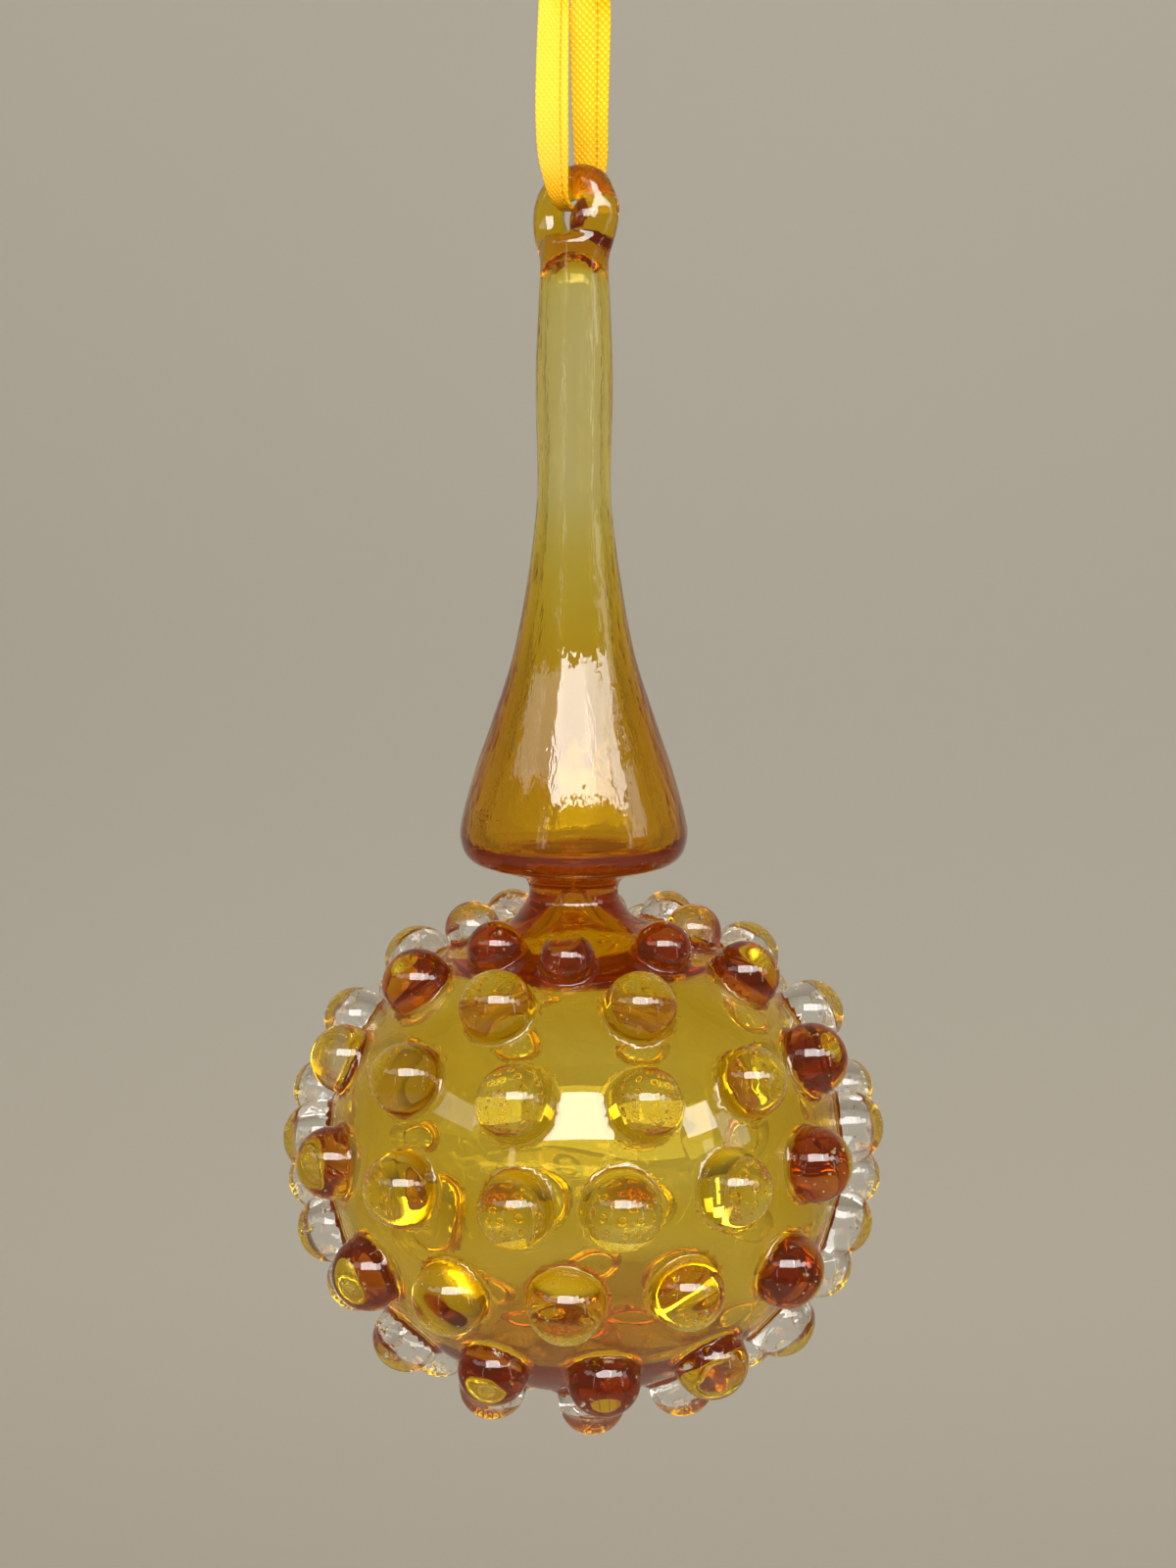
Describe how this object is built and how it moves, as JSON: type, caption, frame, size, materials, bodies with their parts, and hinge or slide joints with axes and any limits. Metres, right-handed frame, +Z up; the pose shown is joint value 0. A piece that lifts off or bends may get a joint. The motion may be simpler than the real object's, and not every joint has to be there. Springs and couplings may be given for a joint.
{
  "type": "blown glass ornament",
  "caption": "Hanging blown glass ornament: an amber ball studded with prunts under a hollow bell-footed spire with a glass loop, on a folded satin ribbon.",
  "frame": {"origin": "inside of the ribbon's top bend, where a hook carries it", "axes": "+Z up along the plumb line, -Y towards the front, where the left strand passes in front of the glass loop"},
  "size_m": [0.0813, 0.0807, 0.1985],
  "materials": {
    "amber_glass": "clear, fire polished",
    "yellow_satin": "satin weave"
  },
  "bodies": {
    "root": {"glass_ornament": "amber_glass", "satin_ribbon": "yellow_satin"}
  },
  "joints": []
}
